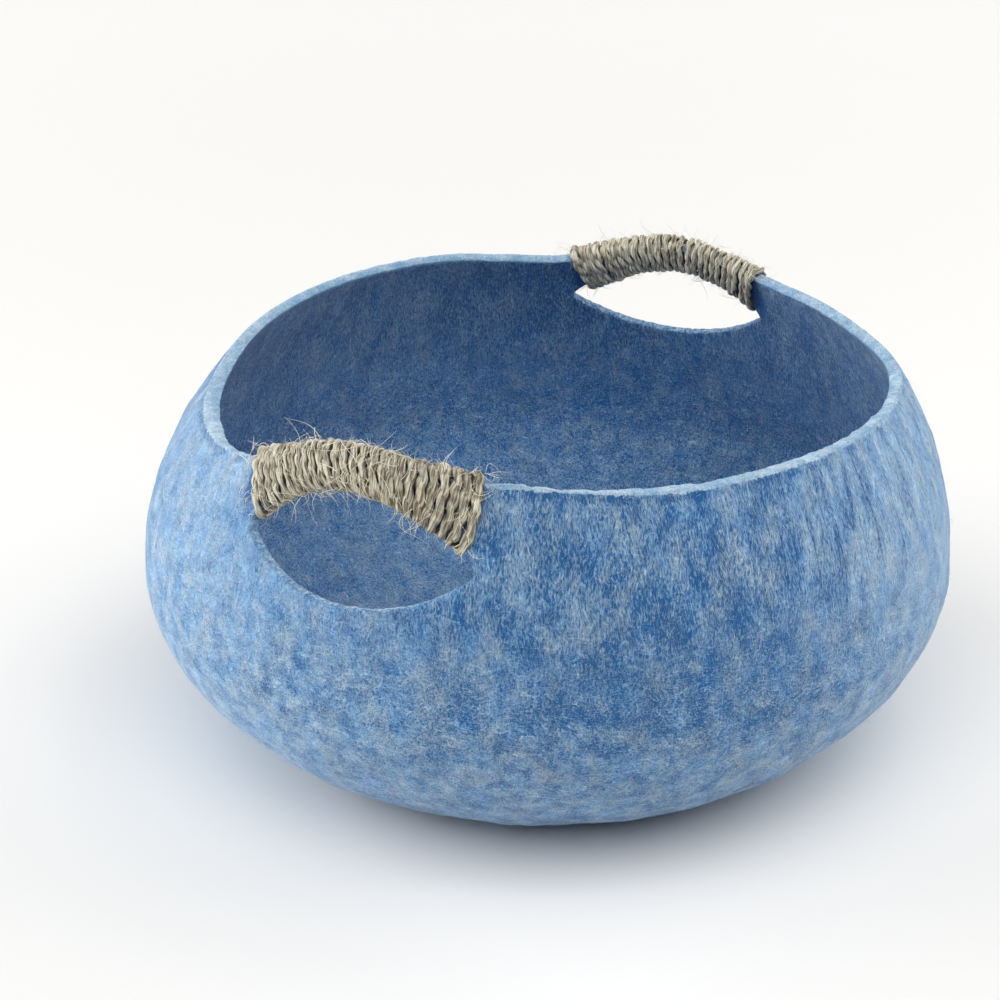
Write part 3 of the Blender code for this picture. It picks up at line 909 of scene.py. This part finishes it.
class Finish:
    """A material under way: one method adds its nodes, and the rest are short forms of it."""

    def __init__(self, name, **fixed):
        self.material = bpy.data.materials.new(name)
        self.material.use_nodes = True
        self.tree = self.material.node_tree
        self.shader = self.tree.nodes["Principled BSDF"]
        for label, value in fixed.items():
            self.shader.inputs[label.replace("_", " ")].default_value = value

    def node(self, kind, settings=(), sockets=()):
        """A node with its settings made first and then its sockets filled or linked."""
        made = self.tree.nodes.new(kind)
        for label, value in dict(settings).items():
            setattr(made, label, value)
        for label, value in dict(sockets).items():
            if isinstance(label, int):
                socket = made.inputs[label]
            else:
                socket = next(s for s in made.inputs if label in (s.identifier, s.name))
            if isinstance(value, Amount):
                value = value.socket
            if isinstance(value, bpy.types.NodeSocket):
                self.tree.links.new(value, socket)
            else:
                socket.default_value = value
        return made

    def math(self, operation, *values):
        """Number from a Math node."""
        made = self.node("ShaderNodeMath", {"operation": operation}, enumerate(values))
        return Amount(self, made.outputs[0])

    def vector_math(self, operation, *values):
        """Vector from a Vector Math node."""
        made = self.node("ShaderNodeVectorMath", {"operation": operation}, enumerate(values))
        return made.outputs["Vector"]

    def attribute(self, name, output="Vector"):
        """Values stored at the mesh's points."""
        return self.node("ShaderNodeAttribute", {"attribute_name": name}).outputs[output]

    def parts(self, vector):
        """The three numbers of a vector."""
        made = self.node("ShaderNodeSeparateXYZ", (), {"Vector": vector})
        return [Amount(self, socket) for socket in made.outputs]

    def stretched(self, vector, x, y, z):
        """Vector times three numbers."""
        return self.vector_math("MULTIPLY", vector, (x, y, z))

    def noise(self, vector, scale, detail=2.0, roughness=0.5, distortion=0.0):
        """Even noise from 0 to 1 with features about 1 / scale metres across."""
        made = self.node("ShaderNodeTexNoise", (), {
            "Vector": vector, "Scale": scale, "Detail": detail, "Roughness": roughness,
            "Distortion": distortion})
        return Amount(self, made.outputs[0])

    def bent(self, vector, scale, amount):
        """Vector pushed about by noise."""
        made = self.node("ShaderNodeTexNoise", (),
                         {"Vector": vector, "Scale": scale, "Detail": 1.0})
        centred = self.vector_math("SUBTRACT", made.outputs["Color"], (0.5, 0.5, 0.5))
        return self.vector_math("ADD", vector, self.stretched(centred, amount, amount, amount))

    def turned(self, vector, angle):
        """Vector turned round the Z axis by an angle."""
        made = self.node("ShaderNodeVectorRotate", {"rotation_type": "Z_AXIS"},
                         {"Vector": vector, "Angle": angle})
        return made.outputs["Vector"]

    def hairs(self, vector, x, y, z, scale, width=0.055):
        """Thin lines, 1 in the middle, where a noise over the stretched vector crosses one half."""
        noise = self.noise(self.stretched(vector, x, y, z), scale, 0.0)
        return self.math("ABSOLUTE", noise - 0.5).step(width, 0.0)

    def mix(self, factor, first, second):
        """Colour between two colours."""
        made = self.node("ShaderNodeMix", {"data_type": "RGBA"}, {
            "Factor_Float": factor, "A_Color": first, "B_Color": second})
        return next(s for s in made.outputs if s.identifier == "Result_Color")

    def colour(self, colour):
        """The shader's own colour."""
        self.node_link(colour, "Base Color")

    def node_link(self, socket, label):
        """Feeds one of the shader's sockets."""
        if isinstance(socket, Amount):
            socket = socket.socket
        self.tree.links.new(socket, self.shader.inputs[label])

    def relief(self, height, distance):
        """Bump from a height of 0 to 1, worth a distance in metres."""
        made = self.node("ShaderNodeBump", (), {"Height": height, "Distance": distance})
        self.node_link(made.outputs["Normal"], "Normal")


def rgb(red, green, blue):
    """Opaque colour."""
    return (red, green, blue, 1.0)


def heather_felt():
    """Heather wool: pale, blue and dark blue fibres, upright under the rim and matted below, with
    painted shade inside the bowl, under the rim and along the creases.
    """
    m = Finish("blue_wool_felt", Roughness=0.92, Sheen_Weight=0.35, Sheen_Roughness=0.40,
               Sheen_Tint=rgb(0.80, 0.88, 1.0), Specular_IOR_Level=0.20)
    grain = m.attribute("grain")
    where = m.node("ShaderNodeTexCoord").outputs["Object"]
    cut, inner, down = m.parts(m.attribute("zones"))
    # pale: the wool's paleness together with its painted light and shade
    pale, upright, pleated = m.parts(m.attribute("wool"))
    upright = upright * (1.0 - cut)

    # tufts of wool, 15 mm down to 2 mm across, and the fibres in them, about half a millimetre wide
    wavy = m.bent(grain, 75.0, 0.0045)
    tufts = (m.noise(m.stretched(wavy, 1.0, 1.0, 0.42), 95.0, 2.5, 0.60) * upright
             + m.noise(m.bent(where, 140.0, 0.0045), 95.0, 2.5, 0.60, 0.2) * (1.0 - upright))
    strands = (m.noise(m.stretched(wavy, 1.0, 1.0, 0.24), 1250.0, 1.5, 0.85) * upright
               + m.noise(m.bent(where, 200.0, 0.0025), 1100.0, 1.5, 0.85, 0.3) * (1.0 - upright))

    # single fibres: thin lines where a smooth noise crosses its middle value, three ways across
    meander = m.bent(grain, 48.0, 0.0150)
    straight = m.hairs(m.turned(wavy, down * -1.1), 1.0, 1.0, 0.12, 900.0)
    leaning = m.hairs(m.turned(wavy, down * 1.9), 1.0, 1.0, 0.14, 800.0, 0.050)
    rising = m.hairs(meander, 1.0, 1.0, 0.16, 850.0)
    crossing = m.hairs(meander, 0.16, 0.16, 1.0, 800.0)
    hair = (straight + leaning) * upright * 0.9 + (rising + crossing) * (1.0 - upright * 0.45)

    level = ((tufts - 0.5) * (1.32 - inner * 0.60) + (strands - 0.5) * (1.95 - pale * 0.8)
             + hair * (0.29 - pale * 0.25) + 0.265 + pale)
    patch = m.noise(where, 90.0, 2.0, 0.6)
    torn = m.noise(where, 520.0, 2.0, 0.65)
    # painted shade: a dark band just under the rim on the outer face, broken up by a noise
    under_rim_shade = down.step(0.0072, 0.0030) * (1.0 - cut) * (1.0 - inner)
    # painted shade along thin crease lines in the pleated part; the same lines dent the bump
    crease = m.hairs(m.bent(grain, 40.0, 0.0040), 1.0, 1.0, 0.045, 150.0) * pleated
    level = level + (torn - 0.5) * (0.75 - upright * 0.65) - crease * 0.30
    # painted shade: the band under the rim, and the whole inside of the bowl darker
    level = level - under_rim_shade * (patch.step(0.35, 0.60) * 0.28 + 0.05) - inner * 0.14
    blue = m.mix(level, rgb(0.010, 0.100, 0.305), rgb(0.310, 0.550, 0.830))
    grey = m.mix(level, rgb(0.020, 0.106, 0.280), rgb(0.465, 0.605, 0.730))
    hue = m.noise(m.stretched(wavy, 1.0, 1.0, 0.5), 80.0, 3.0, 0.7)
    tone = m.mix((hue - 0.5) * (3.4 - inner * 1.6) + (tufts - 0.5) * 1.5 + 0.45, blue, grey)
    # the cut band gets painted shade towards the inside of the bowl
    edge = ((strands - 0.5) * 1.9 + (torn - 0.5) * 1.2 + (patch - 0.5) * 1.4
            + hair * 0.12 + 0.37 - inner * 0.35)
    band = m.mix(edge, rgb(0.170, 0.345, 0.560), rgb(0.590, 0.720, 0.815))
    tone = m.mix((cut + (torn - 0.5) * 1.1 * cut.step(0.0, 0.25)).step(0.30, 0.62), tone, band)
    m.colour(tone)
    wool = tufts * 0.5 + strands * 0.5
    m.relief(wool * 0.55 + hair * 0.25 + torn * cut * 0.5 - crease * 0.8, 0.00070)
    return m.material


def jute():
    """Straw-coloured jute: fine fibres along each ply, some pale and some brown, with painted shade
    in the valleys between turns and over the loose part of the winding.
    """
    m = Finish("jute_cord", Roughness=0.62, Specular_IOR_Level=0.40, Sheen_Weight=0.15)
    strand = m.attribute("strand")
    where = m.node("ShaderNodeTexCoord").outputs["Object"]
    thread = m.noise(m.stretched(strand, 1.0, 1.0, 0.05), 2100.0, 1.5, 0.6)
    bundle = m.noise(m.stretched(strand, 1.0, 1.0, 0.09), 1000.0, 1.5, 0.5)
    spot = m.noise(where, 190.0, 3.0, 0.6)
    warm = m.noise(m.stretched(strand, 1.0, 1.0, 0.2), 300.0, 2.0, 0.6).step(0.35, 0.65)
    height, loose, _ = m.parts(m.attribute("lie"))
    # painted shade: the loose right part of the winding a little darker
    mixed = thread * 0.55 + bundle * 0.45 + (spot - 0.5) * 0.32 - loose * 0.050
    dark = m.mix(warm, rgb(0.085, 0.075, 0.046), rgb(0.110, 0.078, 0.042))
    pale = m.mix(warm, rgb(0.800, 0.785, 0.650), rgb(0.820, 0.755, 0.605))
    thread_tone = m.mix(mixed.step(0.33, 0.68), dark, pale)
    # painted shade: near-black where a ply lies low, in the valleys between the turns
    m.colour(m.mix(height.step(-0.10, 0.50), rgb(0.045, 0.037, 0.024), thread_tone))
    m.relief(thread * 0.5 + bundle * 0.5, 0.00070)
    return m.material


def loose_fibre(name, first, second):
    """Plain fibre, each one of a tone between two colours."""
    m = Finish(name, Roughness=0.6, Sheen_Weight=0.2)
    m.colour(m.mix(m.attribute("tone", "Fac"), first, second))
    return m.material


# --- Floor, light and camera -----------------------------------------------------------------

VIEW_BEARING = math.radians(27.0)
VIEW_RISE = math.radians(23.31)
VIEW_DISTANCE = 1.342
VIEW_TARGET = Vector((0.0, 0.0, 0.12))
VIEW_LENS = 86.97
SENSOR = 36.0
VIEW_PAN = math.atan(0.0470 * SENSOR / VIEW_LENS)
VIEW_TIP = math.atan(0.0098 * SENSOR / VIEW_LENS)
FLOOR_HALF = 30.0
SOFTBOXES = (
    # name, metres to the left of the bed, behind it and above it, width, height, power, colour
    ("above_front", 0.0, -1.5, 2.2, 3.0, 2.4, 60.0, (1.0, 0.985, 0.955)),
    ("above_right", -1.6, 0.3, 2.0, 2.4, 2.4, 21.5, (1.0, 0.99, 0.975)),
    ("left", 3.0, 0.4, 0.9, 2.8, 1.7, 104.0, (1.0, 0.99, 0.975)),
    ("right", -2.6, 0.8, 0.9, 2.6, 1.6, 36.0, (1.0, 0.99, 0.975)),
    ("behind", 0.0, 2.2, 0.9, 3.0, 1.6, 17.0, (1.0, 0.995, 0.985)),
)


def camera():
    """Camera on the view's line, panned so that the bed lies a little right of the middle."""
    data = bpy.data.cameras.new("camera")
    data.lens = VIEW_LENS
    data.sensor_width = SENSOR
    data.clip_end = 100.0
    thing = new_object("camera", data)
    turn = Matrix.Rotation(VIEW_BEARING, 4, "Z") @ Matrix.Rotation(math.pi / 2 - VIEW_RISE, 4, "X")
    back = turn @ Vector((0.0, 0.0, 1.0))
    thing.matrix_world = (Matrix.Translation(VIEW_TARGET + back * VIEW_DISTANCE) @ turn
                          @ Matrix.Rotation(VIEW_PAN, 4, "Y") @ Matrix.Rotation(VIEW_TIP, 4, "X"))
    bpy.context.scene.camera = thing


def softbox(name, left, away, height, wide, tall, power, colour):
    """Oblong soft light that faces the bed: metres to the left of it, behind it and above it."""
    across = Vector((math.cos(VIEW_BEARING), math.sin(VIEW_BEARING), 0.0))
    behind = Vector((-math.sin(VIEW_BEARING), math.cos(VIEW_BEARING), 0.0))
    data = bpy.data.lights.new(name, "AREA")
    data.shape = "RECTANGLE"
    data.size = wide
    data.size_y = tall
    data.energy = power
    data.color = colour
    thing = new_object(name, data)
    thing.location = behind * away - across * left + Vector((0.0, 0.0, height))
    aim = Vector((0.0, 0.0, 0.1)) - thing.location
    thing.rotation_euler = aim.to_track_quat("-Z", "Y").to_euler()
    thing.visible_camera = False


def studio():
    """Pale floor and large soft lights all round."""
    m = Finish("floor_white", Roughness=0.7, Base_Color=rgb(0.86, 0.86, 0.855),
               Specular_IOR_Level=0.2)
    mesh = bpy.data.meshes.new("floor")
    corners = [(x * FLOOR_HALF, y * FLOOR_HALF, 0) for x, y in ((-1, -1), (1, -1), (1, 1), (-1, 1))]
    mesh.from_pydata(corners, [], [(0, 1, 2, 3)])
    mesh.materials.append(m.material)
    floor = new_object("floor", mesh)
    world = bpy.data.worlds.new("studio")
    world.use_nodes = True
    shade = world.node_tree.nodes["Background"]
    shade.inputs["Color"].default_value = (0.98, 0.985, 1.0, 1.0)
    shade.inputs["Strength"].default_value = 0.03
    bpy.context.scene.world = world
    for box in SOFTBOXES:
        softbox(*box)
    bpy.context.scene.view_settings.view_transform = "Standard"


# --- Make the bed ----------------------------------------------------------------------------

felt = heather_felt()
cord = jute()
straw = loose_fibre("loose_jute", rgb(0.76, 0.71, 0.55), rgb(0.97, 0.94, 0.80))
wool = loose_fibre("loose_wool", rgb(0.30, 0.50, 0.80), rgb(0.78, 0.84, 0.92))

bowl = felt_bowl(felt)
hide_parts("felt_shell")

for number, (handle, bowed) in enumerate(zip(HANDLES, BOWED)):
    winding = cord_winding(handle, SEED_CORD + SEED_STEP * number, bowed, cord)
    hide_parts(handle[0])
    cord_fibres(handle, SEED_LOOSE + SEED_STEP * number, straw)

wool_fuzz(wool)

studio()
camera()
